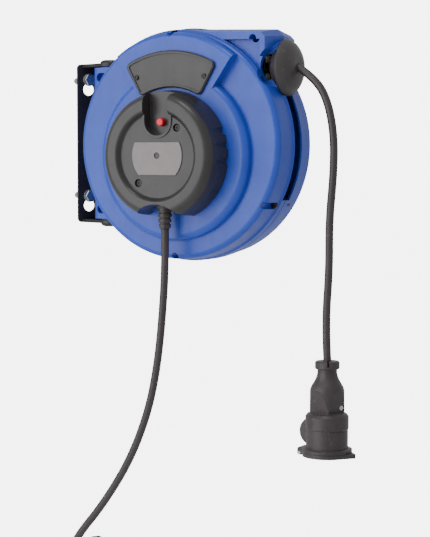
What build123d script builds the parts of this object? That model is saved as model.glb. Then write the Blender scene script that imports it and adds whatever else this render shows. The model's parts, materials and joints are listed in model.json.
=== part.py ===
from build123d import *
from math import atan2, cos, degrees, pi, radians, sin, tan
import os

# A wall-mounted, spring-rewound extension cord reel.
#
# Row frame: X = 0 is the wall, +X points out of it and +Z is up. The origin is the middle of
# the four wall bolts. The reel's housing is modelled in axes of its own: x runs away from the
# swivel axis, y runs from the front (minus) to the back (plus) and z is up, with the origin at
# the middle of the round casing, on the joint between its two shells.

# ------------------------------------------------------------------ driving dimensions, mm
PIVOT_X = 40.0            # swivel axis, out from the wall
SWIVEL = 35.0             # how far the reel stands turned from square to the wall, degrees
ARM = 119.0               # swivel axis to the middle of the casing
CASING_Z = -9.0           # middle of the casing below the middle of the wall bolts

PLATE_W = 60.0            # wall bracket
PLATE_T = 4.0
PLATE_TOP = 91.0
PLATE_BOTTOM = -105.0
BOLT_DY = 30.0
BOLT_DZ = 144.0
BOLT_R = 4.0
KEYHOLE_R = 7.5
KEYHOLE_DROP = 12.0
PIN_R = 6.0
SHELF_END_R = 15.0

RIM_R = 138.0             # casing, at the joint between the shells
LIP_R = 136.0
LIP_Y = 12.0
FACE_R = 134.5            # side wall where it meets the flat ring
RING_Y = 43.0             # flat ring on either side, from the joint
EDGE = 7.0
WALL = 3.0
HUB_Z = -12.5             # drum axis, below the middle of the casing
DISC_R = 100.0            # raised round face
DISC_Y = 55.0
BACK_DISC_R = 84.0
BACK_DISC_Y = 52.0
BRIDGE_LEFT = 123.0       # sides of the raised sector, degrees about the drum axis
BRIDGE_RIGHT = 55.0
SNOUT_X = 119.0           # end face of the outlet block
SNOUT_Z = 133.5
SNOUT_Y = 38.0
PANEL_Y = 30.0
OUTLET_Z = 89.0
OUTLET_R = 25.0
SLOT_HALF = 8.7
SLOT_END = -64.5
LUG_X = -134.0
LUG_HALF = 20.0
SCREW_SPOTS = [(-3.5, 130.5), (98.0, 121.5), (-3.0, -131.5), (115.0, -70.0)]
EAR_X = -141.0            # fifth casing screw, in an ear beside the bracket
CHANNEL_R = 4.5
CHANNEL_Y = 14.0

COVER_R = 76.0            # cap over the slip rings
COVER_Y = 93.0
LABEL_Y = 87.0
LABEL_R = 48.0
RECESS_HALF = 16.5
RECESS_Z = 39.5
RECESS_Y = 75.0
BUTTON_Z = 38.5
BUTTON_R = 4.6
COVER_SCREW_R = 41.0
COVER_SCREW_ANGLES = (51.0, 231.0)

DRUM_R = 109.5
CORE_R = 60.0
WOUND_R = 96.2
DRUM_FRONT = -29.0
DRUM_BACK = 25.0
FLANGE_T = 3.0
AXLE_R = 10.0
RUNNING = 0.05
RATCHET_FLAT = 43.0       # twelve-sided ratchet wheel, across half its flats
TEETH = 12
TOOTH_H = 8.0
TOOTH_W = 14.0
GAP_ANGLE = 119.0         # the gap between two teeth that the pawl's finger drops into
PAWL_AT = (-67.5, 39.0)   # pawl pivot, from the drum axis
PAWL_TIP = (-27.9, 59.8)
CASSETTE_R = 68.0

CORD_R = 4.7              # 9.4 mm rubber cable
BALL_R = 33.0
BALL_X = 125.0
COIL_R = 52.0             # supply coil, at the middle of its turns
COIL_TURNS = 3
COIL_PITCH = 9.6

HOUSING = Location((PIVOT_X, 0, 0), (0, 0, SWIVEL)) * Location((ARM, 0, CASING_Z))

os.makedirs("parts", exist_ok=True)


# ------------------------------------------------------------------ helpers
def finish(part, name, place=None):
    """Moves a finished piece to its place in the row frame, labels it and writes it."""
    piece = part.moved(place) if place else part
    piece.label = name
    export_step(piece, f"parts/{name}.step")
    return piece


def in_row(x, y, z):
    """A point given in the housing's axes, in the row frame."""
    return (HOUSING * Location((x, y, z))).position


def facing(y):
    """Plane square to the drum axis at depth y, whose normal points out of the front."""
    return Plane.XZ.offset(-y)


def turned(profile, z=0.0, rounds=()):
    """Solid turned about the y direction at height z, from (radius, y) corners."""
    with BuildPart() as piece:
        with BuildSketch(Plane.XY.offset(z)) as outline:
            with BuildLine():
                Polyline(*profile, close=True)
            make_face()
            for corner, radius in rounds:
                spot = Vector(*profile[corner])
                nearest = outline.vertices().sort_by_distance(spot)[0]
                fillet(nearest, radius)
        revolve(axis=Axis((0, 0, z), (0, 1, 0)))
    return piece.part


def rod(radius, y_front, y_back, spots, bore=0.0):
    """Round bars along y at each (x, z) spot, with a bore if one is given."""
    with BuildPart() as piece:
        with BuildSketch(facing(y_back)):
            with Locations(*spots):
                Circle(radius)
            if bore:
                with Locations(*spots):
                    Circle(bore, mode=Mode.SUBTRACT)
        extrude(amount=y_back - y_front)
    return piece.part


def block(corners, y_front, y_back, taper=0.0):
    """Prism along y over a polygon of (x, z) corners, drafted towards the front if asked."""
    with BuildPart() as piece:
        with BuildSketch(facing(y_back)):
            with BuildLine():
                Polyline(*corners, close=True)
            make_face()
        extrude(amount=y_back - y_front, taper=taper)
    return piece.part


def upright(profile, x, y, z=0.0):
    """Solid turned about a vertical axis through (x, y), from (radius, height) corners."""
    with BuildPart() as piece:
        with BuildSketch(Plane(origin=(x, y, z), x_dir=(1, 0, 0), z_dir=(0, -1, 0))):
            with BuildLine():
                Polyline(*profile, close=True)
            make_face()
        revolve(axis=Axis((x, y, z), (0, 0, 1)))
    return piece.part


def lying(profile, y, z, rounds=()):
    """Solid turned about the x direction at (y, z), from (x, radius) corners."""
    with BuildPart() as piece:
        with BuildSketch(Plane(origin=(0, y, z), x_dir=(1, 0, 0), z_dir=(0, -1, 0))) as outline:
            with BuildLine():
                Polyline(*profile, close=True)
            make_face()
            for corner, radius in rounds:
                spot = Vector(profile[corner][0], y, z + profile[corner][1])
                fillet(outline.vertices().sort_by_distance(spot)[0], radius)
        revolve(axis=Axis((0, y, z), (1, 0, 0)))
    return piece.part


def pan_screws(spots, y_head, head_r, shank_r, length):
    """Recessed-head screws driven from the front: seat at y_head, pointing to the back."""
    head_t = head_r * 0.62
    with BuildPart() as piece:
        with BuildSketch(facing(y_head)):
            with Locations(*spots):
                Circle(head_r)
        extrude(amount=head_t)
        fillet(piece.faces().sort_by(Axis.Y)[: len(spots)].edges(), head_r * 0.25)
        with BuildSketch(facing(y_head)):
            with Locations(*spots):
                Circle(shank_r)
        extrude(amount=-length)
        with BuildSketch(facing(y_head - head_t)):
            with Locations(*spots):
                Rectangle(head_r * 1.1, head_r * 0.26)
                Rectangle(head_r * 0.26, head_r * 1.1)
        extrude(amount=-head_t * 0.55, mode=Mode.SUBTRACT)
    return piece.part


def cord_tube(points, name):
    """Cable along hand-chosen points, with arcs as large as their two runs allow."""
    points = [Vector(*p) for p in points]
    runs = [b - a for a, b in zip(points, points[1:])]
    radii = []
    for a, b in zip(runs, runs[1:]):
        half_turn = radians(a.get_angle(b)) / 2
        radii.append(0.45 * min(a.length, b.length) / tan(half_turn))
    with BuildPart() as piece:
        with BuildLine() as path:
            FilletPolyline(*points, radius=radii)
        start = Plane(origin=points[0], z_dir=runs[0])
        with BuildSketch(start):
            Circle(CORD_R)
        sweep(path=path.wire())
    length = path.wire().length
    swept = pi * CORD_R**2 * length
    print(name, "radii", [round(r) for r in radii], "length", round(length),
          "volume ratio", round(piece.part.volume / swept, 4))
    return piece.part


def polar(radius, angle, z=HUB_Z):
    """(x, z) of a point at an angle about the drum axis."""
    return (radius * cos(radians(angle)), z + radius * sin(radians(angle)))


# ------------------------------------------------------------------ wall bracket
with BuildPart() as wall_bracket:
    with BuildSketch(Plane.YZ):
        with Locations((0, (PLATE_TOP + PLATE_BOTTOM) / 2)):
            RectangleRounded(PLATE_W, PLATE_TOP - PLATE_BOTTOM, 5)
        with GridLocations(BOLT_DY, BOLT_DZ, 2, 2):
            Circle(BOLT_R + 0.5, mode=Mode.SUBTRACT)
            with Locations((0, -KEYHOLE_DROP / 2)):
                Rectangle(2 * BOLT_R + 1, KEYHOLE_DROP, mode=Mode.SUBTRACT)
            with Locations((0, -KEYHOLE_DROP)):
                Circle(KEYHOLE_R, mode=Mode.SUBTRACT)
    extrude(amount=PLATE_T)
    for shelf_z in (PLATE_TOP - PLATE_T, PLATE_BOTTOM):
        with BuildSketch(Plane.XY.offset(shelf_z)):
            with BuildLine():
                Polyline((0.5, -25), (0.5, 25), (PIVOT_X - 4, SHELF_END_R),
                         (PIVOT_X - 4, -SHELF_END_R), close=True)
            make_face()
            with BuildLine():
                Polyline((PIVOT_X - 6, -SHELF_END_R), (PIVOT_X, -SHELF_END_R),
                         (PIVOT_X, SHELF_END_R), (PIVOT_X - 6, SHELF_END_R), close=True)
            make_face()
            with Locations((PIVOT_X, 0)):
                Circle(SHELF_END_R)
                Circle(PIN_R, mode=Mode.SUBTRACT)
        extrude(amount=PLATE_T)
    fillet(wall_bracket.faces().filter_by(Plane.YZ).sort_by(Axis.X)[0].outer_wire().edges(), 1.2)
finish(wall_bracket.part, "wall_bracket")

SHANK_LENGTH = 38.0
WASHER_T = 1.6
with BuildPart() as wall_bolts:
    with BuildSketch(Plane.YZ):
        with GridLocations(BOLT_DY, BOLT_DZ, 2, 2):
            Circle(BOLT_R)
    extrude(amount=-SHANK_LENGTH)
    with BuildSketch(Plane.YZ):
        with GridLocations(BOLT_DY, BOLT_DZ, 2, 2):
            Circle(BOLT_R - 0.4)
    extrude(amount=PLATE_T + WASHER_T)
    with BuildSketch(Plane.YZ.offset(PLATE_T + WASHER_T)):
        with GridLocations(BOLT_DY, BOLT_DZ, 2, 2):
            RegularPolygon(6.5, 6, major_radius=False)
    extrude(amount=5.3)
    chamfer(wall_bolts.faces().sort_by(Axis.X)[-4:].edges(), 0.6)
finish(wall_bolts.part, "wall_bolts")

with BuildPart() as wall_washers:
    with BuildSketch(Plane.YZ.offset(PLATE_T)):
        with GridLocations(BOLT_DY, BOLT_DZ, 2, 2):
            Circle(7.8)
            Circle(BOLT_R, mode=Mode.SUBTRACT)
    extrude(amount=WASHER_T)
finish(wall_washers.part, "wall_washers")

LUG_TOP = 94.0
LUG_BOTTOM = -90.0
PIN_DEPTH = 27.0
PIN_HEAD_R = 13.0
PIN_HEAD_T = 4.0


def pin_profile(shelf_z, up):
    """Half section of a domed pin whose head sits on a shelf, pointing the other way."""
    return [(0, shelf_z + up * PIN_HEAD_T), (PIN_HEAD_R - 4, shelf_z + up * PIN_HEAD_T),
            (PIN_HEAD_R - 1, shelf_z + up * 2.6), (PIN_HEAD_R, shelf_z + up * 0.8),
            (PIN_HEAD_R, shelf_z), (PIN_R, shelf_z), (PIN_R, shelf_z - up * (PIN_DEPTH - 1)),
            (PIN_R - 1, shelf_z - up * PIN_DEPTH), (0, shelf_z - up * PIN_DEPTH)]


with BuildPart() as pivot_pins:
    add(upright(pin_profile(PLATE_TOP, 1), PIVOT_X, 0))
    add(upright(pin_profile(PLATE_BOTTOM, -1), PIVOT_X, 0))
finish(pivot_pins.part, "pivot_pins")

# ------------------------------------------------------------------ casing
CASING_PROFILE = [(0, -RING_Y), (FACE_R, -RING_Y), (LIP_R, -LIP_Y), (RIM_R, -LIP_Y + 3),
                  (RIM_R, LIP_Y - 3), (LIP_R, LIP_Y), (FACE_R, RING_Y), (0, RING_Y)]
CAVITY_PROFILE = [(0, -RING_Y + WALL), (FACE_R - WALL, -RING_Y + WALL), (RIM_R - WALL - 1, 0),
                  (FACE_R - WALL, RING_Y - WALL), (0, RING_Y - WALL)]
round_casing = turned(CASING_PROFILE, rounds=[(1, EDGE), (6, EDGE)])
front_disc = turned([(0, -20), (DISC_R, -20), (DISC_R, -DISC_Y), (0, -DISC_Y)], HUB_Z, [(2, 9)])
back_disc = turned([(0, 20), (BACK_DISC_R, 20), (BACK_DISC_R, BACK_DISC_Y), (0, BACK_DISC_Y)],
                   HUB_Z, [(2, 8)])

SNOUT = [(0, 118), (14, 136.8), (SNOUT_X - 8, SNOUT_Z), (SNOUT_X, SNOUT_Z - 8),
         (SNOUT_X, 62), (95, 62), (40, 112)]
snout_front = block(SNOUT, -SNOUT_Y, 0, taper=8)
snout_back = mirror(snout_front, about=Plane.XZ)
SNOUT_HOLLOW = [(30, 118), (34, 132), (SNOUT_X - 9, SNOUT_Z - 4), (SNOUT_X - 4, SNOUT_Z - 9),
                (SNOUT_X - 4, 64), (95, 64), (60, 96)]
hollow_front = block(SNOUT_HOLLOW, -PANEL_Y + WALL, 0, taper=8)
hollow_back = mirror(block(SNOUT_HOLLOW, -SNOUT_Y + WALL, 0, taper=8), about=Plane.XZ)

with BuildPart() as bridge:
    add(turned([(0, -20), (132, -20), (130.5, -DISC_Y), (0, -DISC_Y)], rounds=[(2, EDGE)]))
    with BuildSketch(facing(0)):
        with BuildLine():
            Polyline((0, HUB_Z), polar(190, BRIDGE_RIGHT), (0, 210), polar(190, BRIDGE_LEFT),
                     close=True)
        make_face()
    extrude(amount=80, mode=Mode.INTERSECT)

with BuildPart() as bridge_hollow:
    add(turned([(0, -30), (127, -30), (126, -DISC_Y + WALL), (0, -DISC_Y + WALL)]))
    with BuildSketch(facing(0)):
        with BuildLine():
            Polyline((0, HUB_Z + 8), polar(180, BRIDGE_RIGHT + 3), (0, 210),
                     polar(180, BRIDGE_LEFT - 3), close=True)
        make_face()
    extrude(amount=80, mode=Mode.INTERSECT)

disc_hollow = turned([(0, -30), (DISC_R - WALL, -30), (DISC_R - WALL, -DISC_Y + WALL),
                      (0, -DISC_Y + WALL)], HUB_Z, [(2, 6)])
back_hollow = turned([(0, 30), (BACK_DISC_R - WALL, 30), (BACK_DISC_R - WALL, BACK_DISC_Y - WALL),
                      (0, BACK_DISC_Y - WALL)], HUB_Z, [(2, 5)])
bosses = rod(7.6, -RING_Y, RING_Y, SCREW_SPOTS)
channels = rod(CHANNEL_R, -80, -CHANNEL_Y, SCREW_SPOTS)
screw_holes = rod(2.2, -CHANNEL_Y - 1, 22, SCREW_SPOTS + [(EAR_X, 0)])

lip_ring = lying([(104, OUTLET_R), (104, 31), (SNOUT_X + 1.5, 31), (SNOUT_X + 1.5, OUTLET_R + 2),
                  (SNOUT_X - 2, OUTLET_R)], 0, OUTLET_Z, [(2, 2.5)])
outlet_hole = lying([(90, 0), (SNOUT_X + 12, 0), (SNOUT_X + 12, BALL_R + 1),
                     (SNOUT_X + 1.6, BALL_R + 1), (SNOUT_X + 1.6, OUTLET_R + 4.5),
                     (SNOUT_X - 4, OUTLET_R), (90, OUTLET_R)], 0, OUTLET_Z)

with BuildPart() as hollow:
    add(turned(CAVITY_PROFILE, rounds=[(1, 6), (3, 6)]))
    add([hollow_front, hollow_back, bridge_hollow.part, disc_hollow, back_hollow])
    add(bosses, mode=Mode.SUBTRACT)

with BuildPart() as casing:
    add(round_casing)
    add([front_disc, back_disc, bridge.part, snout_front, snout_back])
    add(rod(6.0, -10, 10, [(EAR_X, 0)]))
    for low, high in ((58.0, LUG_TOP), (LUG_BOTTOM, -54.0)):
        with BuildSketch(facing(LUG_HALF)):
            with BuildLine():
                Polyline((LUG_X, low), (-95, low), (-95, high), (LUG_X, high), close=True)
            make_face()
        extrude(amount=2 * LUG_HALF)
    fillet(casing.edges().filter_by(Axis.Z).group_by(Axis.X)[0], 9)
    for z, up in ((LUG_TOP, 1), (LUG_BOTTOM, -1)):
        with BuildSketch(Plane(origin=(-ARM, 0, z), z_dir=(0, 0, up))):
            Circle(13)
        extrude(amount=1.5)
    add(hollow.part, mode=Mode.SUBTRACT)
    add(lip_ring)
    add([outlet_hole, channels, screw_holes], mode=Mode.SUBTRACT)
    add(turned([(RIM_R - 1, -0.6), (RIM_R + 2, -0.6), (RIM_R + 2, 0.6), (RIM_R - 1, 0.6)]),
        mode=Mode.SUBTRACT)

BUSH_R = 9.0
AXLE_BACK = BACK_DISC_Y - WALL
NECK_R = 40.0             # hole in the raised disc that the slip rings come through
GROOVE_HALF = 12.0        # supply cable channel down the raised disc
RELIEF_Y = -70.0
RELIEF_END = -98.0
PAWL_SPOT = (PAWL_AT[0], HUB_Z + PAWL_AT[1])
TRIANGLE = [(20, 121.5), (SNOUT_X - 12, 120.5), (SNOUT_X - 12, 58), (70, 58), (20, 100)]

with BuildPart() as panel_recess:
    add(block(TRIANGLE, -60, -PANEL_Y))
    add(turned([(0, -70), (FACE_R - 0.5, -70), (FACE_R + 1.0, -20), (0, -20)]),
        mode=Mode.SUBTRACT)

SLOT = [(95, SLOT_END), (160, SLOT_END), (160, OUTLET_Z), (112, OUTLET_Z), (112, 40)]
SLOT_EDGE = 1.8           # the back shell's wall beside the slot, thinned from inside
SLOT_THINNED = 5.0
slot_cut = block(SLOT, -SLOT_HALF, SLOT_HALF)
with BuildPart() as slot_thinning:
    add(block(SLOT, 0, SLOT_HALF + SLOT_THINNED))
    add(rod(RIM_R - SLOT_EDGE, 0, 30, [(0, 0)]), mode=Mode.INTERSECT)
corner_cut = rod(25.0, -50, -20, [(BALL_X + 4, OUTLET_Z)])
lug_bores = [upright([(0, LUG_TOP - 24), (BUSH_R, LUG_TOP - 24), (BUSH_R, LUG_TOP + 5),
                      (0, LUG_TOP + 5)], -ARM, 0),
             upright([(0, LUG_BOTTOM - 5), (BUSH_R, LUG_BOTTOM - 5), (BUSH_R, LUG_BOTTOM + 24),
                      (0, LUG_BOTTOM + 24)], -ARM, 0)]
with BuildPart() as lug_windows:
    for z in (LUG_TOP - 12, LUG_BOTTOM + 12):
        with BuildSketch(facing(-LUG_HALF + 9)):
            with Locations((-ARM, z)):
                SlotOverall(16, 11)
        extrude(amount=20)

with BuildPart() as front_shell:
    add(casing.part)
    split(bisect_by=Plane.XZ, keep=Keep.TOP)
    add([panel_recess.part, slot_cut, corner_cut, lug_windows.part], mode=Mode.SUBTRACT)
    add(lug_bores, mode=Mode.SUBTRACT)
    add(rod(NECK_R, -80, -20, [(0, HUB_Z)]), mode=Mode.SUBTRACT)
    with BuildSketch(facing(-DISC_Y + 2.2)):
        with Locations((0, HUB_Z - 75)):
            Rectangle(2 * GROOVE_HALF, 70)
    extrude(amount=20, mode=Mode.SUBTRACT)
    add(rod(5.5, -DISC_Y + WALL - 1, -37.5, [PAWL_SPOT]))
    add(rod(2.5, -46, -36, [PAWL_SPOT]), mode=Mode.SUBTRACT)
finish(front_shell.part, "front_shell", HOUSING)

with BuildPart() as back_shell:
    add(casing.part)
    split(bisect_by=Plane.XZ, keep=Keep.BOTTOM)
    add([slot_cut, slot_thinning.part], mode=Mode.SUBTRACT)
    add(lug_bores, mode=Mode.SUBTRACT)
    add(rod(4.2, 20, 80, [(0, HUB_Z)]), mode=Mode.SUBTRACT)
finish(back_shell.part, "back_shell", HOUSING)

with BuildPart() as shell_screws:
    add(pan_screws(SCREW_SPOTS, -CHANNEL_Y, 3.9, 2.1, 34))
    add(pan_screws([(EAR_X, 0)], -10, 3.9, 2.1, 18))
finish(shell_screws.part, "shell_screws", HOUSING)

with BuildPart() as pivot_bushes:
    for low, high in ((LUG_TOP - 23, LUG_TOP + 1.5), (LUG_BOTTOM - 1.5, LUG_BOTTOM + 23)):
        add(upright([(PIN_R + RUNNING, low), (BUSH_R - 0.05, low), (BUSH_R - 0.05, high),
                     (PIN_R + RUNNING, high)], -ARM, 0))
finish(pivot_bushes.part, "pivot_bushes", HOUSING)

# ------------------------------------------------------------------ slip-ring cap and plates
COVER_SCREWS = [polar(COVER_SCREW_R, angle) for angle in COVER_SCREW_ANGLES]
SCALLOPS = [polar(COVER_R + 2.5, angle) for angle in (22, 9, -5)]
recess = [(-RECESS_HALF, HUB_Z + RECESS_Z), (RECESS_HALF, HUB_Z + RECESS_Z),
          (RECESS_HALF, HUB_Z + 90), (-RECESS_HALF, HUB_Z + 90)]
with BuildPart() as recess_cut:
    with BuildSketch(facing(-RECESS_Y)):
        with BuildLine():
            Polyline(recess[1], recess[2], recess[3], recess[0])
            ThreePointArc(recess[0], (0, HUB_Z + RECESS_Z - RECESS_HALF), recess[1])
        make_face()
    extrude(amount=40)
with BuildPart() as recess_wall:
    with BuildSketch(facing(-RECESS_Y + WALL)) as wall_outline:
        with BuildLine():
            Polyline(recess[1], recess[2], recess[3], recess[0])
            ThreePointArc(recess[0], (0, HUB_Z + RECESS_Z - RECESS_HALF), recess[1])
        make_face()
        offset(amount=WALL)
    extrude(amount=40)

ARCH_R = 39.5             # arch cut into the cap's lower edge, over the strain relief
ARCH_Z = HUB_Z - 95.5
COLLAR_RISE = 1.4
RELIEF_HOLE_R = 9.6
with BuildPart() as recess_collar:
    add(recess_wall.part)
    add(rod(COVER_R - 8, -LABEL_Y - COLLAR_RISE, -RECESS_Y, [(0, HUB_Z)]), mode=Mode.INTERSECT)

with BuildPart() as cover_hollow:
    add(turned([(0, -LABEL_Y + WALL), (52, -LABEL_Y + WALL), (57, -COVER_Y + WALL),
                (67, -COVER_Y + WALL), (COVER_R - 4.5, -72), (COVER_R - 3.5, -DISC_Y + 1),
                (0, -DISC_Y + 1)], HUB_Z, [(3, 7)]))
    add(recess_wall.part, mode=Mode.SUBTRACT)
    add(rod(6.5, -95, -50, COVER_SCREWS), mode=Mode.SUBTRACT)
    add(rod(8.0, -80, -50, SCALLOPS), mode=Mode.SUBTRACT)
    add(rod(ARCH_R + WALL, -100, -50, [(0, ARCH_Z)]), mode=Mode.SUBTRACT)

with BuildPart() as front_cover:
    add(turned([(0, -LABEL_Y), (LABEL_R + 1, -LABEL_Y), (53, -COVER_Y), (71, -COVER_Y),
                (COVER_R - 1.5, -72), (COVER_R, -DISC_Y), (0, -DISC_Y)], HUB_Z,
               [(1, 2.0), (2, 4.0), (3, 11.0)]))
    add(recess_collar.part)
    add([cover_hollow.part, recess_cut.part], mode=Mode.SUBTRACT)
    add(rod(BUTTON_R + 0.3, -80, -60, [(0, HUB_Z + BUTTON_Z)]), mode=Mode.SUBTRACT)
    add(rod(4.6, -100, -LABEL_Y + 4, COVER_SCREWS), mode=Mode.SUBTRACT)
    add(rod(2.1, -100, -50, COVER_SCREWS), mode=Mode.SUBTRACT)
    add(rod(5.5, -78, -50, SCALLOPS), mode=Mode.SUBTRACT)
    add(rod(ARCH_R, -100, -50, [(0, ARCH_Z)]), mode=Mode.SUBTRACT)
    add(upright([(0, -30), (RELIEF_HOLE_R, -30), (RELIEF_HOLE_R, 30), (0, 30)], 0, RELIEF_Y,
                RELIEF_END + 30), mode=Mode.SUBTRACT)
finish(front_cover.part, "front_cover", HOUSING)
finish(pan_screws(COVER_SCREWS, -LABEL_Y + 4, 3.8, 2.0, 26), "cover_screws", HOUSING)

PLATE_THICK = 1.2
with BuildPart() as rating_plate:
    with BuildSketch(facing(-LABEL_Y)):
        with Locations((0, HUB_Z)):
            Circle(33.5)
        with Locations((0, HUB_Z - 3.5)):
            Rectangle(80, 38, mode=Mode.INTERSECT)
        with Locations((0, HUB_Z)):
            Circle(3.6, mode=Mode.SUBTRACT)
    extrude(amount=PLATE_THICK)
    chamfer(rating_plate.faces().sort_by(Axis.Y)[0].edges(), 0.3)
finish(rating_plate.part, "rating_plate", HOUSING)

BADGE_HALF = 30.0
BADGE_IN = 79.0
BADGE_OUT = 122.0
BADGE_T = 4.5
BADGE_RIM = 3.6
BADGE_SUNK = 1.3
BADGE_SCREWS = [polar(102, 90 - 26.5), polar(102, 90 + 26.5)]


def badge_face(inset, corner_r):
    """The badge plate's outline on the sector's face, drawn in by an inset all round."""
    half = BADGE_HALF - degrees(inset / BADGE_OUT)
    low, high = BADGE_IN + inset, BADGE_OUT - inset
    with BuildSketch(facing(-DISC_Y)) as outline:
        with BuildLine():
            ThreePointArc(polar(low, 90 + half), polar(low, 90), polar(low, 90 - half))
            ThreePointArc(polar(high, 90 + half), polar(high, 90), polar(high, 90 - half))
            Line(polar(low, 90 + half), polar(high, 90 + half))
            Line(polar(low, 90 - half), polar(high, 90 - half))
        make_face()
        fillet(outline.vertices(), corner_r)
    return outline.sketch


with BuildPart() as badge_plate:
    extrude(badge_face(0, 6), amount=BADGE_T)
    chamfer(badge_plate.faces().sort_by(Axis.Y)[0].edges(), 1.4)
    sunk_face = badge_face(BADGE_RIM, 3).moved(Location((0, -BADGE_T, 0)))
    extrude(sunk_face, amount=-BADGE_SUNK, mode=Mode.SUBTRACT)
    add(rod(2.0, -80, -50, BADGE_SCREWS), mode=Mode.SUBTRACT)
finish(badge_plate.part, "badge_plate", HOUSING)
finish(pan_screws(BADGE_SCREWS, -DISC_Y - BADGE_T + BADGE_SUNK, 3.0, 1.9, BADGE_T - BADGE_SUNK),
       "badge_screws", HOUSING)

# ------------------------------------------------------------------ thermal cut-out and wiring
with BuildPart() as breaker_body:
    with BuildSketch(facing(-57)):
        with Locations((0, HUB_Z + 44)):
            RectangleRounded(20, 18, 2)
    extrude(amount=14.5)
    add(rod(BUTTON_R + 0.4, -80, -65, [(0, HUB_Z + BUTTON_Z)]), mode=Mode.SUBTRACT)
finish(breaker_body.part, "breaker_body", HOUSING)

with BuildPart() as reset_button:
    add(rod(BUTTON_R, -82, -71, [(0, HUB_Z + BUTTON_Z)]))
    fillet(reset_button.faces().sort_by(Axis.Y)[0].edges(), 1.6)
finish(reset_button.part, "reset_button", HOUSING)

RING_SPOTS = (-58.5, -63.5, -68.5)
with BuildPart() as brush_holder:
    add(block([(-57, HUB_Z - 10), (-37, HUB_Z - 10), (-37, HUB_Z + 10), (-57, HUB_Z + 10)],
              -71, -DISC_Y))
    for y in RING_SPOTS:
        add(block([(-50, HUB_Z - 3.2), (-30, HUB_Z - 3.2), (-30, HUB_Z + 3.2), (-50, HUB_Z + 3.2)],
                  y - 1.6, y + 1.6), mode=Mode.SUBTRACT)
finish(brush_holder.part, "brush_holder", HOUSING)

with BuildPart() as brushes:
    for y in RING_SPOTS:
        add(block([(-45, HUB_Z - 3), (-33.9, HUB_Z - 3), (-33.9, HUB_Z + 3), (-45, HUB_Z + 3)],
                  y - 1.5, y + 1.5))
finish(brushes.part, "brushes", HOUSING)

with BuildPart() as terminal_block:
    add(block([(-15, HUB_Z - 49), (15, HUB_Z - 49), (15, HUB_Z - 41), (-15, HUB_Z - 41)],
              -68, -DISC_Y))
    add(rod(2.2, -80, -62, [(-9, HUB_Z - 45), (0, HUB_Z - 45), (9, HUB_Z - 45)]),
        mode=Mode.SUBTRACT)
finish(terminal_block.part, "terminal_block", HOUSING)

# ------------------------------------------------------------------ axle, drum and rewind
hub_spot = [(0, HUB_Z)]
finish(rod(AXLE_R, -71, AXLE_BACK, hub_spot), "axle", HOUSING)
with BuildPart() as axle_screw:
    with BuildSketch(facing(BACK_DISC_Y)):
        with Locations((0, HUB_Z)):
            RegularPolygon(8, 6, major_radius=False)
    extrude(amount=-6)
    chamfer(axle_screw.faces().sort_by(Axis.Y)[-1].edges(), 0.8)
    add(rod(4.0, AXLE_BACK, BACK_DISC_Y, hub_spot))
finish(axle_screw.part, "axle_screw", HOUSING)
finish(rod(13.5, 27.5, 44.5, hub_spot, bore=AXLE_R), "spring_arbor", HOUSING)

BUSH_OUT = 16.0
RIM_SCREWS = [polar(CORE_R - 2, angle) for angle in range(30, 390, 60)]
with BuildPart() as drum_core:
    add(rod(CORE_R, DRUM_FRONT + FLANGE_T, DRUM_BACK - FLANGE_T, hub_spot, bore=CORE_R - 4))
    add(rod(CORE_R - 2, -3, 1, hub_spot, bore=BUSH_OUT + 1))
    add(rod(BUSH_OUT + 4, DRUM_FRONT + FLANGE_T, DRUM_BACK - FLANGE_T, hub_spot, bore=BUSH_OUT))
    add(rod(1.6, DRUM_FRONT, DRUM_BACK, RIM_SCREWS), mode=Mode.SUBTRACT)
finish(drum_core.part, "drum_core", HOUSING)

for name, low in (("drum_front_flange", DRUM_FRONT), ("drum_back_flange", DRUM_BACK - FLANGE_T)):
    with BuildPart() as flange:
        add(rod(DRUM_R, low, low + FLANGE_T, hub_spot, bore=BUSH_OUT))
        fillet(flange.edges().filter_by(GeomType.CIRCLE).sort_by(SortBy.RADIUS)[-2:], 1.2)
        add(rod(1.6, low - 1, low + 5, RIM_SCREWS), mode=Mode.SUBTRACT)
    finish(flange.part, name, HOUSING)
finish(pan_screws(RIM_SCREWS, DRUM_FRONT, 3.4, 1.55, 14), "drum_screws", HOUSING)

with BuildPart() as drum_bushes:
    add(rod(BUSH_OUT - 0.02, DRUM_FRONT, DRUM_FRONT + 14, hub_spot, bore=AXLE_R + RUNNING))
    add(rod(BUSH_OUT - 0.02, DRUM_BACK - 14, DRUM_BACK, hub_spot, bore=AXLE_R + RUNNING))
finish(drum_bushes.part, "drum_bushes", HOUSING)

finish(turned([(CORE_R + 0.3, DRUM_FRONT + 3.5), (WOUND_R, DRUM_FRONT + 3.5),
               (WOUND_R, DRUM_BACK - 3.5), (CORE_R + 0.3, DRUM_BACK - 3.5)], HUB_Z,
              [(1, 4), (2, 4)]), "wound_cable", HOUSING)

RATCHET_T = 8.0
TOOTH_STEP = 360 / TEETH
TOOTH_ANGLES = [GAP_ANGLE + (k + 0.5) * TOOTH_STEP for k in range(TEETH)]
with BuildPart() as ratchet_wheel:
    with BuildSketch(facing(DRUM_FRONT)):
        with Locations((0, HUB_Z)):
            RegularPolygon(RATCHET_FLAT, TEETH, major_radius=False, rotation=GAP_ANGLE)
            Circle(30.2, mode=Mode.SUBTRACT)
    extrude(amount=RATCHET_T)
finish(ratchet_wheel.part, "ratchet_wheel", HOUSING)

with BuildPart() as ratchet_teeth:
    with BuildSketch(facing(DRUM_FRONT)):
        for angle in TOOTH_ANGLES:
            with Locations(Location((*polar(RATCHET_FLAT + TOOTH_H / 2, angle), 0), (0, 0, angle))):
                Rectangle(TOOTH_H, TOOTH_W)
    extrude(amount=RATCHET_T)
finish(ratchet_teeth.part, "ratchet_teeth", HOUSING)

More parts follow.
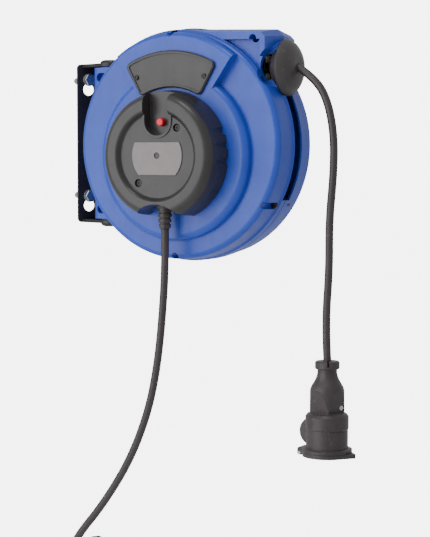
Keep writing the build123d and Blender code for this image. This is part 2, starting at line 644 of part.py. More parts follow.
finish(rod(30, -70.8, DRUM_FRONT, hub_spot, bore=AXLE_R + 0.5), "slip_ring_carrier", HOUSING)
with BuildPart() as slip_rings:
    for y in RING_SPOTS:
        add(rod(33.4, y - 1.9, y + 1.9, hub_spot, bore=30.02))
finish(slip_rings.part, "slip_rings", HOUSING)

CASSETTE_BACK = 45.0
with BuildPart() as spring_cassette:
    add(rod(CASSETTE_R, DRUM_BACK, CASSETTE_BACK, hub_spot, bore=CASSETTE_R - 2))
    add(rod(CASSETTE_R - 1, DRUM_BACK, DRUM_BACK + 1.5, hub_spot, bore=BUSH_OUT))
finish(spring_cassette.part, "spring_cassette", HOUSING)
finish(rod(CASSETTE_R, CASSETTE_BACK, CASSETTE_BACK + 1.5, hub_spot, bore=14.5),
       "cassette_cover", HOUSING)

SPRING_PITCH = 7.0
SPRING_TURNS = 7
SPRING_START = 15.5
with BuildPart() as drive_spring:
    with BuildSketch(facing(43)):
        with BuildLine():
            reach, side = SPRING_START, 1
            for k in range(2 * SPRING_TURNS):
                grown = reach + SPRING_PITCH / 2
                middle = (reach - grown) / 2 * side
                half = (reach + grown) / 2
                ThreePointArc((side * reach, HUB_Z), (middle, HUB_Z + side * half),
                              (-side * grown, HUB_Z))
                reach, side = grown, -side
        trace(line_width=1.0)
    extrude(amount=14)
finish(drive_spring.part, "drive_spring", HOUSING)

# ------------------------------------------------------------------ pawl
arm = Vector(PAWL_TIP[0] - PAWL_AT[0], PAWL_TIP[1] - PAWL_AT[1])
with BuildPart() as pawl:
    with BuildSketch(facing(-32)):
        with Locations(Location((*PAWL_SPOT, 0), (0, 0, degrees(atan2(arm.Y, arm.X))))):
            Circle(7)
            with Locations((arm.length / 2, 0)):
                Rectangle(arm.length, 6)
            with Locations((arm.length - 2.5, -6)):
                Rectangle(5, 12)
            Circle(2.5 + RUNNING, mode=Mode.SUBTRACT)
    extrude(amount=4.5)
finish(pawl.part, "pawl", HOUSING)
finish(rod(2.5, -46, -30.5, [PAWL_SPOT]), "pawl_pin", HOUSING)

# ------------------------------------------------------------------ outlet rollers
ROLLER_R = 7.2
ROLLER_X = 96.0
ROLLER_RISE = CORD_R + 0.6 + ROLLER_R
roller_spots = [(ROLLER_X, OUTLET_Z + ROLLER_RISE), (ROLLER_X, OUTLET_Z - ROLLER_RISE)]
with BuildPart() as roller_cage:
    add(block([(88, OUTLET_Z - 24), (103, OUTLET_Z - 24), (103, OUTLET_Z + 24),
               (88, OUTLET_Z + 24)], -17.5, 17.5))
    add(block([(80, OUTLET_Z - 21.5), (110, OUTLET_Z - 21.5), (110, OUTLET_Z + 21.5),
               (80, OUTLET_Z + 21.5)], -15, 15), mode=Mode.SUBTRACT)
    add(rod(2.5, -30, 30, roller_spots), mode=Mode.SUBTRACT)
finish(roller_cage.part, "roller_cage", HOUSING)
finish(rod(2.5, -17.5, 17.5, roller_spots), "roller_pins", HOUSING)
for name, spot in zip(("upper_roller", "lower_roller"), roller_spots):
    finish(rod(ROLLER_R, -14.5, 14.5, [spot], bore=2.5 + RUNNING), name, HOUSING)

# ------------------------------------------------------------------ ball stop on the cable
with BuildPart() as ball_stop:
    with BuildSketch(Plane(origin=(0, 0, OUTLET_Z), x_dir=(1, 0, 0), z_dir=(0, -1, 0))):
        with BuildLine():
            Polyline((BALL_X, BALL_R), (BALL_X - 2.5, BALL_R - 1), (BALL_X - 3.5, BALL_R - 5),
                     (BALL_X - 10, 24.4), (BALL_X - 15, 19), (BALL_X - 15, CORD_R + 0.3),
                     (BALL_X + 13, CORD_R + 0.3), (BALL_X + 13, CORD_R + 3.5))
            ThreePointArc((BALL_X + 13, CORD_R + 3.5), (BALL_X + 9.4, BALL_R * 0.72),
                          (BALL_X, BALL_R))
        make_face()
    revolve(axis=Axis((0, 0, OUTLET_Z), (1, 0, 0)))
ball_screw_spots = [(BALL_X + 1, OUTLET_Z + 17), (BALL_X + 1, OUTLET_Z - 17)]
for name, keep in (("ball_stop_front", Keep.TOP), ("ball_stop_back", Keep.BOTTOM)):
    with BuildPart() as half:
        add(ball_stop.part)
        split(bisect_by=Plane.XZ, keep=keep)
        add(rod(2.05, -18, 60, ball_screw_spots), mode=Mode.SUBTRACT)
        add(rod(4.2, 18, 60, ball_screw_spots), mode=Mode.SUBTRACT)
    finish(half.part, name, HOUSING)
finish(mirror(pan_screws(ball_screw_spots, -18, 3.9, 2.0, 34), about=Plane.XZ), "ball_screws", HOUSING)

with BuildPart() as inner_lead:
    with BuildSketch(Plane.YZ):
        with Locations((0, OUTLET_Z)):
            Circle(CORD_R)
    extrude(amount=BALL_X + 13)
finish(inner_lead.part, "inner_lead", HOUSING)

# ------------------------------------------------------------------ cords
OUTPUT_ROUTE = [(138, 0, 89), (160, 0, 75), (175.5, 0, 49.5), (183.5, 0, 10), (183, 0, -34),
                (177.8, 0, -86), (178.2, 0, -145), (173.6, 0, -205), (176.3, 0, -249)]
output_cable = cord_tube([in_row(*p) for p in OUTPUT_ROUTE], "output cable")
finish(output_cable, "output_cable")

SUPPLY_ROUTE = [(0, RELIEF_Y, RELIEF_END), (0.4, RELIEF_Y, -142), (-4, RELIEF_Y, -202),
                (-11, RELIEF_Y, -260), (-24, RELIEF_Y, -316), (-50, RELIEF_Y, -376),
                (-88, RELIEF_Y, -432), (-122, RELIEF_Y, -471)]
TAIL_ROUTE = [(66, -68.5, -505), (62.5, -72.5, -530), (62, -72, -556)]
supply_points = [in_row(*p) for p in SUPPLY_ROUTE] + [Vector(*p) for p in TAIL_ROUTE]
supply_cable = cord_tube(supply_points, "supply cable")
finish(supply_cable, "supply_cable")

COIL_X, COIL_SIDE, COIL_Z = TAIL_ROUTE[-1]
COIL_Y = COIL_SIDE + COIL_R
COIL_BACK = COIL_X - COIL_TURNS * COIL_PITCH
with BuildPart() as supply_coil:
    with BuildSketch(Plane.XY.offset(COIL_Z)):
        with Locations(((COIL_X + COIL_BACK) / 2, COIL_SIDE)):
            RectangleRounded(COIL_X - COIL_BACK + 2 * CORD_R, 2 * CORD_R, CORD_R - 0.2)
    revolve(axis=Axis((COIL_X, COIL_Y, COIL_Z), (1, 0, 0)))
finish(supply_coil.part, "supply_coil")

TIE_T = 1.4
tie_size = (COIL_X - COIL_BACK + 2 * CORD_R + 0.8, 2 * CORD_R + 0.8)
with BuildPart() as coil_tie:
    with BuildSketch(Plane.XZ.offset(-COIL_Y - 5)):
        with Locations(((COIL_X + COIL_BACK) / 2, COIL_Z + COIL_R)):
            RectangleRounded(tie_size[0] + 2 * TIE_T, tie_size[1] + 2 * TIE_T, 5)
            RectangleRounded(*tie_size, 3.6, mode=Mode.SUBTRACT)
    extrude(amount=10)
finish(coil_tie.part, "coil_tie")

PLUG_TOP = COIL_Z - 40
PLUG_FACE = PLUG_TOP - 62
with BuildPart() as plug_body:
    add(upright([(0, 0), (0, -62), (18.4, -62), (19, -59), (19, -42), (17, -32), (9.5, -25),
                 (7, 0)], COIL_BACK, COIL_SIDE, PLUG_TOP))
    with BuildSketch(Plane.XZ.offset(-COIL_SIDE + 30)):
        for side in (-1, 1):
            with Locations((COIL_BACK + side * 21.5, PLUG_TOP - 47)):
                Circle(6)
    extrude(amount=60, both=True, mode=Mode.SUBTRACT)
finish(plug_body.part, "plug_body")

PIN_PITCH = 19.0
with BuildPart() as plug_pins:
    with BuildSketch(Plane.XY.offset(PLUG_FACE)):
        with Locations((COIL_BACK, COIL_SIDE)):
            with Locations((0, PIN_PITCH / 2), (0, -PIN_PITCH / 2)):
                Circle(2.4)
    extrude(amount=-19)
    fillet(plug_pins.faces().sort_by(Axis.Z)[:2].edges(), 1.6)
finish(plug_pins.part, "plug_pins")

with BuildPart() as plug_lead:
    with BuildSketch(Plane.XY.offset(PLUG_TOP)):
        with Locations((COIL_BACK, COIL_SIDE)):
            Circle(CORD_R)
    extrude(amount=22)
finish(plug_lead.part, "plug_lead")

# strain relief of the supply cable
RIBS = 4
relief_profile = [(0, 34), (9.5, 34), (9.5, 27)]
for k in range(RIBS):
    top = 24.5 - 6.2 * k
    width = 8.6 - 0.5 * k
    relief_profile += [(width, top), (width, top - 3.9), (width - 1.8, top - 4.3),
                       (width - 1.8, top - 5.8)]
relief_profile += [(6.2, 0), (0, 0)]
finish(upright(relief_profile, 0, RELIEF_Y, RELIEF_END), "strain_relief", HOUSING)

# ------------------------------------------------------------------ coupling on the output cable
CPL_X, CPL_TOP = OUTPUT_ROUTE[-1][0], OUTPUT_ROUTE[-1][2]
CPL_END = CPL_TOP - 105.5
LID_T = 5.0
HINGE_X = CPL_X - 32.0
HINGE_Z = CPL_END - 3.2
CPL_FRONT = -60.0         # the side with the collar's slit, degrees about the coupling
FACET_TURN = 40.0         # flat facets, to either side of the front and the back
FACET_FOOT = 15.3         # a facet's distance from the axis at its foot
FACET_LEAN = 9.2
FACET_Z = -59.5
PANEL_TURN = 47.0


def heading(angle, down=0.0):
    """Direction at an angle about the vertical, pointing down by the other angle."""
    flat = cos(radians(down))
    return Vector(flat * cos(radians(angle)), flat * sin(radians(angle)), -sin(radians(down)))


def facet_plane(angle):
    """A facet's plane: its origin is the middle of the facet's foot and its y runs up."""
    foot = Vector(CPL_X, 0, CPL_TOP + FACET_Z) + heading(angle) * FACET_FOOT
    return Plane(origin=foot, x_dir=heading(angle + 90), z_dir=heading(angle, FACET_LEAN))


screw_plane = facet_plane(CPL_FRONT + FACET_TURN)
SCREW_ON_FACET = (7.9, 5.5)

with BuildPart() as coupling_nut:
    add(upright([(0, 0), (13, 0), (14.35, -1.3), (14.35, -8), (13.6, -9), (0, -9)], CPL_X, 0, CPL_TOP))
    with BuildSketch(Plane(origin=(CPL_X, 0, CPL_TOP), z_dir=heading(CPL_FRONT))):
        Rectangle(2.2, 12)
    extrude(amount=30, mode=Mode.SUBTRACT)
finish(coupling_nut.part, "coupling_nut", HOUSING)

with BuildPart() as coupling_body:
    with BuildSketch(Plane(origin=(CPL_X, 0, CPL_TOP), x_dir=(1, 0, 0), z_dir=(0, -1, 0))):
        with BuildLine():
            Spline((11.6, -9), (11.8, -15), (14.8, -23), (18.8, -30), (20.0, -35))
            Polyline((20.0, -35), (20.2, -60), (23, -61), (25.2, -64), (25.2, -78),
                     (24.5, -79.2), (24.5, -101), (27, -101), (29.2, -102), (29.2, -105.5),
                     (19.5, -105.5), (19.5, -78), (0, -78), (0, -9), (11.6, -9))
        make_face()
    revolve(axis=Axis((CPL_X, 0, CPL_TOP), (0, 0, 1)))
    for angle in (CPL_FRONT, CPL_FRONT + 180):
        for turn in (-FACET_TURN, FACET_TURN):
            with BuildSketch(facet_plane(angle + turn)):
                with Locations((0, 20)):
                    Rectangle(60, 40)
            extrude(amount=10, mode=Mode.SUBTRACT)
    with BuildSketch(Plane(origin=(CPL_X, 0, CPL_TOP), x_dir=heading(CPL_FRONT),
                           z_dir=heading(CPL_FRONT - 90))):
        with Locations((24.6, -90.6)):
            Rectangle(1.4, 20.6)
    revolve(axis=Axis((CPL_X, 0, CPL_TOP), (0, 0, 1)), revolution_arc=PANEL_TURN)
    with BuildSketch(facing(4)):
        with Locations((CPL_X - 16.5, CPL_TOP - 83)):
            Circle(17)
    extrude(amount=8)
    with BuildSketch(facing(8)):
        with Locations((HINGE_X + 3.5, HINGE_Z + 2.4)):
            RectangleRounded(12, 9, 2.5)
    extrude(amount=16)
    add(block([(HINGE_X - 5, HINGE_Z - 9), (HINGE_X + 10, HINGE_Z - 9), (HINGE_X + 10, HINGE_Z + 3.3),
               (HINGE_X - 5, HINGE_Z + 3.3)], -4.2, 4.2), mode=Mode.SUBTRACT)
    add(upright([(0, -105.5), (19.5, -105.5), (19.5, -78), (0, -78)], CPL_X, 0, CPL_TOP),
        mode=Mode.SUBTRACT)
    add(rod(1.55, -20, 20, [(HINGE_X, HINGE_Z)]), mode=Mode.SUBTRACT)
    with BuildSketch(screw_plane):
        with Locations(SCREW_ON_FACET):
            Circle(4.0)
    extrude(amount=-2.0, mode=Mode.SUBTRACT)
finish(coupling_body.part, "coupling_body", HOUSING)

CONTACTS = [(CPL_X - PIN_PITCH / 2, 0), (CPL_X + PIN_PITCH / 2, 0)]
with BuildPart() as coupling_insert:
    add(upright([(0, -88), (19.4, -88), (19.4, -78), (0, -78)], CPL_X, 0, CPL_TOP))
    with BuildSketch(Plane.XY.offset(CPL_TOP - 88)):
        with Locations(*CONTACTS):
            Circle(3.4)
    extrude(amount=9, mode=Mode.SUBTRACT)
finish(coupling_insert.part, "coupling_insert", HOUSING)

with BuildPart() as coupling_contacts:
    with BuildSketch(Plane.XY.offset(CPL_TOP - 88)):
        with Locations(*CONTACTS):
            Circle(3.35)
            Circle(2.6, mode=Mode.SUBTRACT)
    extrude(amount=9)
finish(coupling_contacts.part, "coupling_contacts", HOUSING)

with BuildPart() as earth_clips:
    with BuildSketch(Plane.XY.offset(CPL_TOP - 103)):
        with Locations((CPL_X, 18.4), (CPL_X, -18.4)):
            Rectangle(5, 1.4)
    extrude(amount=15)
finish(earth_clips.part, "earth_clips", HOUSING)

with BuildPart() as coupling_lid:
    with BuildSketch(Plane.XY.offset(CPL_END - LID_T - 0.3)) as lid_outline:
        with Locations((CPL_X, 0)):
            Circle(28.4)
        with BuildLine():
            Polyline((CPL_X + 22, -17), (CPL_X + 36.5, 0), (CPL_X + 22, 17), close=True)
        make_face()
        with Locations((HINGE_X + 5, 0)):
            Rectangle(10, 7.6)
    extrude(amount=LID_T)
    with BuildSketch(facing(3.8)):
        with Locations((HINGE_X, HINGE_Z)):
            Circle(3.2)
    extrude(amount=7.6)
    add(rod(1.5 + RUNNING, -10, 10, [(HINGE_X, HINGE_Z)]), mode=Mode.SUBTRACT)
    for side in (-1, 1):
        with BuildSketch(Plane.XY.offset(CPL_END - LID_T - 2)):
            with Locations((HINGE_X + 2, side * 8.0)):
                Rectangle(16.6, 8.4)
        extrude(amount=LID_T + 4, mode=Mode.SUBTRACT)
finish(coupling_lid.part, "coupling_lid", HOUSING)
finish(rod(1.5, -8, 8, [(HINGE_X, HINGE_Z)]), "lid_hinge_pin", HOUSING)

with BuildPart() as coupling_screw:
    with BuildSketch(screw_plane.offset(-2.0)):
        with Locations(SCREW_ON_FACET):
            Circle(3.4)
    extrude(amount=1.6)
    chamfer(coupling_screw.faces().sort_by(Axis(screw_plane.origin, screw_plane.z_dir))[-1].edges(), 0.5)
finish(coupling_screw.part, "coupling_screw", HOUSING)
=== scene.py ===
import json
import math

import bpy
from mathutils import Matrix, Vector


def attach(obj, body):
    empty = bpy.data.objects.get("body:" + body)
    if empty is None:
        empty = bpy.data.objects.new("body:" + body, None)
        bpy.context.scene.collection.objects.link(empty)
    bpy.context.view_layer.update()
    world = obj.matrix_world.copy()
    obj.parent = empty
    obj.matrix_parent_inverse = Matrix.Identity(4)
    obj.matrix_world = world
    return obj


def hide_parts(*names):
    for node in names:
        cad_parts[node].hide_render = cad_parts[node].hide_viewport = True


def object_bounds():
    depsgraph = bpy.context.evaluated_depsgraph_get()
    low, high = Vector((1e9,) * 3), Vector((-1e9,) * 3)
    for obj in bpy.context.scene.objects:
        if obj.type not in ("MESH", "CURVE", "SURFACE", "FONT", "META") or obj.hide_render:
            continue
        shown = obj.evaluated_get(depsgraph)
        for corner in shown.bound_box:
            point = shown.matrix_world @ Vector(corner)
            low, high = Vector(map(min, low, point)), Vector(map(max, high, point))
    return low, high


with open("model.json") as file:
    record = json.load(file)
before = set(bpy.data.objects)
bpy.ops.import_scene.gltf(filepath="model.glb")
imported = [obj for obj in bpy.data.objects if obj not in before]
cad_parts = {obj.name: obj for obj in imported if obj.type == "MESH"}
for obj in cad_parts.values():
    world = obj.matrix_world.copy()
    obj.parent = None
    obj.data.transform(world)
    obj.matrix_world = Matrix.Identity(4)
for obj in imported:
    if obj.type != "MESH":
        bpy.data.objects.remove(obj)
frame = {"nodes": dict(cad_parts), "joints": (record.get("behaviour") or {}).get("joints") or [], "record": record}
cad_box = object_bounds()
nodes = frame["nodes"]
record = frame["record"]
slot_of = {s["node"]: s["material_slot"] for s in record["subparts"]}

# ------------------------------------------------------------------ the housing's own axes
MM = 0.001
SWIVEL = math.radians(35)
joints = {j["name"]: j for j in frame["joints"]}
PIVOT = Vector(joints["housing_swivel"]["pos_m"])
ARM = 119 * MM
CASING_Z = -9 * MM
HOUSING = (Matrix.Translation(PIVOT) @ Matrix.Rotation(SWIVEL, 4, "Z")
           @ Matrix.Translation((ARM, 0, CASING_Z)))


def in_row(x, y, z):
    """A point given in the housing's axes in millimetres, in the row frame in metres."""
    return HOUSING @ (Vector((x, y, z)) * MM)


# ------------------------------------------------------------------ camera
CAMERA_DISTANCE = 1.957
CAMERA_AZIMUTH = 65
CAMERA_DROP = 0.006
CAMERA_YAW = -0.703
CAMERA_PITCH = -4.158
CAMERA_LENS = 109.3
SENSOR_WIDTH = 36
CLIP_END = 50


def make_camera():
    """A long lens at the reel's height, 30 degrees off the face of its casing."""
    data = bpy.data.cameras.new("camera")
    data.lens = CAMERA_LENS
    data.sensor_width = SENSOR_WIDTH
    data.clip_end = CLIP_END
    camera = bpy.data.objects.new("camera", data)
    bpy.context.scene.collection.objects.link(camera)
    azimuth = math.radians(CAMERA_AZIMUTH)
    back = Vector((math.sin(azimuth), -math.cos(azimuth), 0))
    camera.location = in_row(0, 0, 0) + back * CAMERA_DISTANCE - Vector((0, 0, CAMERA_DROP))
    camera.rotation_euler = (math.radians(90 + CAMERA_PITCH), 0,
                             azimuth + math.radians(CAMERA_YAW))
    bpy.context.scene.camera = camera


make_camera()

# ------------------------------------------------------------------ material helpers
# Noise patterns, as scale, detail and roughness. A stretch is along each axis in turn.
CLOUDS = (35, 5, 0.6)
HANDLING = (14, 6, 0.7)
STREAKS = (90, 4, 0.6, (1, 1, 0.12))
FILM = (70, 4, 0.65)
BLOTCHES = (60, 5, 0.65)
DUST = (190, 3, 0.7)
SAND = (1800, 3, 0.6)
RUBBER_PATCHES = (30, 4)
STAGE_CLOUDS = 3
LAY_STRETCH = (1, 1, 0.3)
# The part of a pattern's span that is used, and the most that it then mixes in.
LOWEST, HIGHEST = 0.3, 0.7
PATCHY_SPAN = (0.7, 1.3)
MARKS_MOST = 0.6
FILM_FROM, FILM_MOST = 0.35, 0.5
DUST_SPAN, DUST_MOST = (0.6, 0.8), 0.4
# How far roughness strays below and above a material's own.
PLASTIC_STRAYS = (-0.07, 0.09)
METAL_STRAYS = (-0.08, 0.1)
RUBBER_STRAYS = (-0.08, 0.08)
# Depths and radii in metres.
GRAIN_DEPTH = 0.0002
SAND_DEPTH = 0.0003
LAY_STRENGTH, LAY_DEPTH = 0.12, 0.0006
EDGE_RADIUS = 0.0006
METAL_EDGE_RADIUS = 0.0004
EDGE_SAMPLES = 4
EDGE_FROM, EDGE_TO = 0.8, 0.97  # cosine between the rounded normal and the face's own
RUBBED_PALER = 0.16
DUST_PALER = 0.1
METAL_DULLER = 0.72
PLASTIC_IOR = 1.5
COAT_ROUGHNESS = 0.22
SHEEN, SHEEN_ROUGHNESS = 0.08, 0.5


class Nodes:
    """Short hand for building one procedural material."""

    def __init__(self, name):
        self.material = bpy.data.materials.new(name)
        self.material.use_nodes = True
        self.tree = self.material.node_tree
        self.bsdf = self.tree.nodes["Principled BSDF"]
        self.place = self.add("ShaderNodeTexCoord").outputs["Object"]

    def add(self, kind, **inputs):
        node = self.tree.nodes.new(kind)
        for key, value in inputs.items():
            self.put(node.inputs[key.replace("_", " ")], value)
        return node

    def put(self, socket, value):
        if isinstance(value, bpy.types.NodeSocket):
            self.tree.links.new(value, socket)
        else:
            socket.default_value = value

    def noise(self, scale, detail=4.0, roughness=0.55, stretch=None):
        place = self.place
        if stretch:
            mapping = self.add("ShaderNodeMapping", Vector=place)
            mapping.inputs["Scale"].default_value = stretch
            place = mapping.outputs[0]
        node = self.add("ShaderNodeTexNoise", Vector=place, Scale=scale, Detail=detail,
                        Roughness=roughness)
        return node.outputs["Fac"]

    def remap(self, value, low, high, out_low, out_high):
        node = self.add("ShaderNodeMapRange", Value=value)
        node.inputs["From Min"].default_value = low
        node.inputs["From Max"].default_value = high
        node.inputs["To Min"].default_value = out_low
        node.inputs["To Max"].default_value = out_high
        return node.outputs[0]

    def mix(self, factor, one, two):
        node = self.tree.nodes.new("ShaderNodeMix")
        node.data_type = "RGBA"
        self.put(node.inputs["Factor"], factor)
        self.put(node.inputs[6], one)
        self.put(node.inputs[7], two)
        return node.outputs[2]

    def bump(self, height, strength, distance, normal=None):
        node = self.add("ShaderNodeBump", Height=height, Strength=strength, Distance=distance)
        if normal:
            self.put(node.inputs["Normal"], normal)
        return node.outputs[0]

    def soft_edges(self, radius=EDGE_RADIUS):
        """(normal that rounds sharp edges over by a radius, 0 on a face to 1 along an edge)"""
        rounded = self.add("ShaderNodeBevel", Radius=radius)
        rounded.samples = EDGE_SAMPLES
        flat = self.add("ShaderNodeNewGeometry").outputs["Normal"]
        along = self.tree.nodes.new("ShaderNodeVectorMath")
        along.operation = "DOT_PRODUCT"
        self.put(along.inputs[0], rounded.outputs[0])
        self.put(along.inputs[1], flat)
        return rounded.outputs[0], self.remap(along.outputs["Value"], EDGE_FROM, EDGE_TO, 1, 0)


def rgb(r, g, b):
    """An sRGB colour out of 255 as a linear one."""
    def linear(c):
        c /= 255
        return c / 12.92 if c <= 0.04045 else ((c + 0.055) / 1.055) ** 2.4
    return (linear(r), linear(g), linear(b), 1)


def plastic(name, colour, dark, rough=0.42, grain=0.05, grain_scale=2600, wear=0.35, coat=0.0):
    """Moulded plastic: spark-eroded grain, cloudy colour, handling marks and paler rubbed edges."""
    n = Nodes(name)
    cloud = n.noise(*CLOUDS)
    base = n.mix(n.remap(cloud, LOWEST, HIGHEST, 0, 1), dark, colour)
    pale = tuple(c + (1 - c) * RUBBED_PALER for c in colour[:3]) + (1,)
    rounded, edge = n.soft_edges()
    rubbed = n.remap(edge, 0, 1, 0, wear)
    n.put(n.bsdf.inputs["Base Color"], n.mix(rubbed, base, pale))
    marks = n.noise(*HANDLING)
    streaks = n.noise(*STREAKS)
    patchy = n.add("ShaderNodeMath")
    n.put(patchy.inputs[0], marks)
    n.put(patchy.inputs[1], streaks)
    n.put(n.bsdf.inputs["Roughness"],
          n.remap(patchy.outputs[0], *PATCHY_SPAN, *(rough + stray for stray in PLASTIC_STRAYS)))
    n.put(n.bsdf.inputs["Normal"], n.bump(n.noise(grain_scale, 2, 0.5), grain, GRAIN_DEPTH, rounded))
    n.bsdf.inputs["IOR"].default_value = PLASTIC_IOR
    n.bsdf.inputs["Coat Weight"].default_value = coat
    n.bsdf.inputs["Coat Roughness"].default_value = COAT_ROUGHNESS
    return n.material


def metal(name, colour, rough, stretch=None, scale=900, bump=0.05, metallic=1.0):
    """Metal with fine machining or plating marks and a duller film in patches."""
    n = Nodes(name)
    marks = n.noise(scale, 3, 0.6, stretch)
    film = n.remap(n.noise(*FILM), FILM_FROM, HIGHEST, 0, FILM_MOST)
    dull = tuple(c * METAL_DULLER for c in colour[:3]) + (1,)
    fine = n.mix(n.remap(marks, LOWEST, HIGHEST, 0, MARKS_MOST), colour, dull)
    n.put(n.bsdf.inputs["Base Color"], n.mix(film, fine, dull))
    n.put(n.bsdf.inputs["Roughness"],
          n.remap(marks, LOWEST, HIGHEST, *(rough + stray for stray in METAL_STRAYS)))
    rounded = n.soft_edges(METAL_EDGE_RADIUS)[0]
    n.put(n.bsdf.inputs["Normal"], n.bump(marks, bump, GRAIN_DEPTH, rounded))
    n.bsdf.inputs["Metallic"].default_value = metallic
    return n.material


def rubber(name, colour, dark, rough=0.5, grain=0.16, ribs=None):
    """Matt rubber: sandy texture, blotches, dusty bloom and, on a cable, its faint lay."""
    n = Nodes(name)
    blotch = n.noise(*BLOTCHES)
    base = n.mix(n.remap(blotch, LOWEST, HIGHEST, 0, 1), dark, colour)
    dusty = tuple(c + (1 - c) * DUST_PALER for c in colour[:3]) + (1,)
    dust = n.remap(n.noise(*DUST), *DUST_SPAN, 0, DUST_MOST)
    n.put(n.bsdf.inputs["Base Color"], n.mix(dust, base, dusty))
    n.put(n.bsdf.inputs["Roughness"],
          n.remap(n.noise(*RUBBER_PATCHES), LOWEST, HIGHEST,
                  *(rough + stray for stray in RUBBER_STRAYS)))
    under = n.soft_edges()[0]
    if ribs:
        under = n.bump(n.noise(ribs, 2, 0.5, LAY_STRETCH), LAY_STRENGTH, LAY_DEPTH, under)
    n.put(n.bsdf.inputs["Normal"], n.bump(n.noise(*SAND), grain, SAND_DEPTH, under))
    n.bsdf.inputs["Sheen Weight"].default_value = SHEEN
    n.bsdf.inputs["Sheen Roughness"].default_value = SHEEN_ROUGHNESS
    return n.material


MATERIALS = {
    "blue_plastic": plastic("blue_plastic", rgb(30, 74, 190), rgb(25, 66, 176), rough=0.36,
                            coat=0.12),
    "dark_plastic": plastic("dark_plastic", rgb(50, 48, 49), rgb(42, 40, 42), rough=0.34, wear=0.2,
                            grain=0.08, coat=0.1),
    "black_nylon": plastic("black_nylon", rgb(26, 26, 28), rgb(20, 20, 22), rough=0.5),
    "white_nylon": plastic("white_nylon", rgb(226, 224, 214), rgb(214, 211, 200), rough=0.45),
    "red_plastic": plastic("red_plastic", rgb(236, 30, 58), rgb(222, 22, 48), rough=0.25, wear=0.1),
    "plate_grey": metal("plate_grey", rgb(128, 122, 123), 0.38, (1, 1, 40), 240, 0.02, 0.35),
    "black_steel": plastic("black_steel", rgb(34, 30, 32), rgb(26, 23, 25), rough=0.34, grain=0.14,
                           grain_scale=1400, wear=0.15),
    "zinc": metal("zinc", rgb(196, 198, 200), 0.26, None, 1200),
    "steel": metal("steel", rgb(190, 190, 188), 0.3, (1, 1, 20), 600),
    "brass": metal("brass", rgb(214, 190, 128), 0.25, None, 900),
    "carbon": plastic("carbon", rgb(38, 38, 40), rgb(26, 26, 28), rough=0.6),
    "ball_rubber": rubber("ball_rubber", rgb(64, 60, 60), rgb(54, 51, 51), rough=0.42),
    "cable_rubber": rubber("cable_rubber", rgb(58, 50, 52), rgb(49, 43, 45), rough=0.42, ribs=120),
}
DARK_SCREWS = plastic("black_screws", rgb(24, 23, 24), rgb(16, 15, 16), rough=0.3, wear=0.3)
DARK_SCREW_NODES = ("badge_screws", "cover_screws", "ball_screws", "shell_screws")


def dress_nodes():
    """Gives every CAD node its material and its slot."""
    for name, node in nodes.items():
        material = DARK_SCREWS if name in DARK_SCREW_NODES else MATERIALS[slot_of[name]]
        node.data.materials.clear()
        node.data.materials.append(material)


dress_nodes()


# ------------------------------------------------------------------ cords
CORD_D = 9.4 * MM
CORD_BEVEL, CORD_STEPS, CORD_ORDER = 6, 8, 3
OUTPUT_ROUTE = [(138, 0, 89), (160, 0, 75), (175.5, 0, 49.5), (183.5, 0, 10), (183, 0, -34),
                (177.8, 0, -86), (178.2, 0, -145), (173.6, 0, -205), (176.3, 0, -249)]
RELIEF_Y = -70
RELIEF_END = -98
SUPPLY_ROUTE = [(0, RELIEF_Y, RELIEF_END), (0.4, RELIEF_Y, -142), (-4, RELIEF_Y, -202),
                (-11, RELIEF_Y, -260), (-24, RELIEF_Y, -316), (-50, RELIEF_Y, -376),
                (-88, RELIEF_Y, -432), (-122, RELIEF_Y, -471)]
TAIL_ROUTE = [(66, -68.5, -505), (62.5, -72.5, -530), (62, -72, -556)]
COIL_R = 52
COIL_TURNS = 3
COIL_PITCH = 9.6
COIL_STEPS = 16
PLUG_TOP = -596
COIL_LEAD_OUT = 20


def cord_curve(name, points):
    """A smooth round cable through its route's control points."""
    curve = bpy.data.curves.new(name, "CURVE")
    curve.dimensions = "3D"
    curve.bevel_depth = CORD_D / 2
    curve.bevel_resolution = CORD_BEVEL
    curve.resolution_u = CORD_STEPS
    curve.use_fill_caps = True
    spline = curve.splines.new("NURBS")
    spline.points.add(len(points) - 1)
    for point, place in zip(spline.points, points):
        point.co = (*place, 1)
    spline.order_u = CORD_ORDER
    spline.use_endpoint_u = True
    piece = bpy.data.objects.new(name, curve)
    bpy.context.scene.collection.objects.link(piece)
    curve.materials.append(MATERIALS["cable_rubber"])
    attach(piece, "housing")
    return piece


def coil_points():
    """The supply lead's turns: round a level axis along X, each a cable's width from the last."""
    x, side, z = TAIL_ROUTE[-1]
    reach = COIL_R / math.cos(math.pi / COIL_STEPS) ** 0.5
    points = []
    for step in range(1, COIL_TURNS * COIL_STEPS):
        turn = step / COIL_STEPS
        angle = 2 * math.pi * turn
        points.append(Vector((x - COIL_PITCH * turn, side + COIL_R - reach * math.cos(angle),
                              z - reach * math.sin(angle))) * MM)
    return points


def make_cords():
    output = cord_curve("output_cord", [in_row(*p) for p in OUTPUT_ROUTE])
    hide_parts("output_cable")
    coil = coil_points()
    x_end = TAIL_ROUTE[-1][0] - COIL_TURNS * COIL_PITCH
    side, z = TAIL_ROUTE[-1][1:]
    ending = [Vector((x_end, side, z)) * MM, Vector((x_end, side, z - COIL_LEAD_OUT)) * MM,
              Vector((x_end, side, PLUG_TOP)) * MM]
    supply = cord_curve("supply_cord", [in_row(*p) for p in SUPPLY_ROUTE]
                        + [Vector(p) * MM for p in TAIL_ROUTE] + coil + ending)
    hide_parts("supply_cable", "supply_coil", "plug_lead")


make_cords()

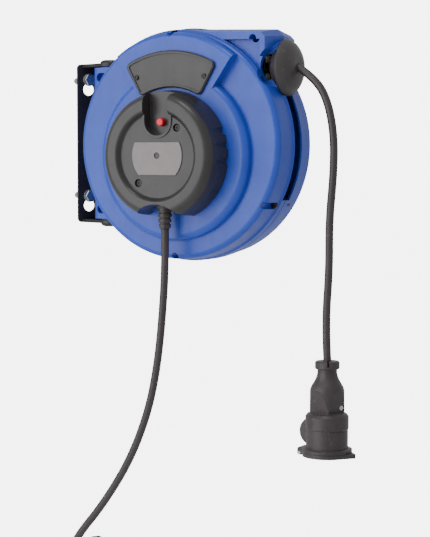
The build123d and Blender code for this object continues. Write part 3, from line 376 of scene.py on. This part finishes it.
# ------------------------------------------------------------------ stage and light
FLOOR_DROP = 0.25
FLOOR_SIZE = 60
FLOOR_SHADES = (0.86, 0.86, 0.86, 1), (0.9, 0.9, 0.9, 1)
FLOOR_ROUGHNESS = 0.9
WHITE = (1, 1, 1, 1)
BACKDROP_GLOW = 6
FLOOR_GLOW = 5.4  # less than the backdrop's, as the lights add to the floor: no horizon shows
AMBIENT = 0.6
LIGHTS_AIM = (0, 0, -60)
KEY_OFFSET, KEY_SIZE, KEY_POWER = Vector((0.35, -2.3, 0.45)), 3.0, 52
TOP_OFFSET, TOP_SIZE, TOP_POWER = Vector((0.7, -0.5, 1.7)), 0.6, 7


def make_stage():
    """A pale floor below the reel, lit evenly as a studio sweep is."""
    bpy.ops.mesh.primitive_plane_add(size=FLOOR_SIZE, location=(0, 0, cad_box[0].z - FLOOR_DROP))
    floor = bpy.context.object
    floor.name = "floor"
    n = Nodes("stage_white")
    n.put(n.bsdf.inputs["Base Color"],
          n.mix(n.remap(n.noise(STAGE_CLOUDS), LOWEST, HIGHEST, 0, 1), *FLOOR_SHADES))
    n.bsdf.inputs["Roughness"].default_value = FLOOR_ROUGHNESS
    n.bsdf.inputs["Emission Color"].default_value = WHITE
    seen = n.add("ShaderNodeLightPath").outputs["Is Camera Ray"]
    n.put(n.bsdf.inputs["Emission Strength"], n.remap(seen, 0, 1, 0, FLOOR_GLOW))
    floor.data.materials.append(n.material)


make_stage()


def area_light(name, place, aim, size, power):
    data = bpy.data.lights.new(name, "AREA")
    data.shape = "DISK"
    data.size = size
    data.energy = power
    light = bpy.data.objects.new(name, data)
    bpy.context.scene.collection.objects.link(light)
    light.location = place
    light.rotation_euler = (Vector(aim) - Vector(place)).to_track_quat("-Z", "Y").to_euler()


def make_lights():
    """A bright sweep behind, a large soft key at the front left and a high top light."""
    world = bpy.data.worlds.new("world")
    bpy.context.scene.world = world
    world.use_nodes = True
    tree = world.node_tree
    ambient = tree.nodes["Background"]
    ambient.inputs["Color"].default_value = WHITE
    ambient.inputs["Strength"].default_value = AMBIENT
    sweep = tree.nodes.new("ShaderNodeBackground")
    sweep.inputs["Color"].default_value = WHITE
    sweep.inputs["Strength"].default_value = BACKDROP_GLOW
    seen = tree.nodes.new("ShaderNodeLightPath")
    either = tree.nodes.new("ShaderNodeMixShader")
    tree.links.new(seen.outputs["Is Camera Ray"], either.inputs[0])
    tree.links.new(ambient.outputs[0], either.inputs[1])
    tree.links.new(sweep.outputs[0], either.inputs[2])
    tree.links.new(either.outputs[0], tree.nodes["World Output"].inputs["Surface"])
    centre = in_row(*LIGHTS_AIM)
    area_light("key", centre + KEY_OFFSET, centre, KEY_SIZE, KEY_POWER)
    area_light("top", centre + TOP_OFFSET, centre, TOP_SIZE, TOP_POWER)


make_lights()
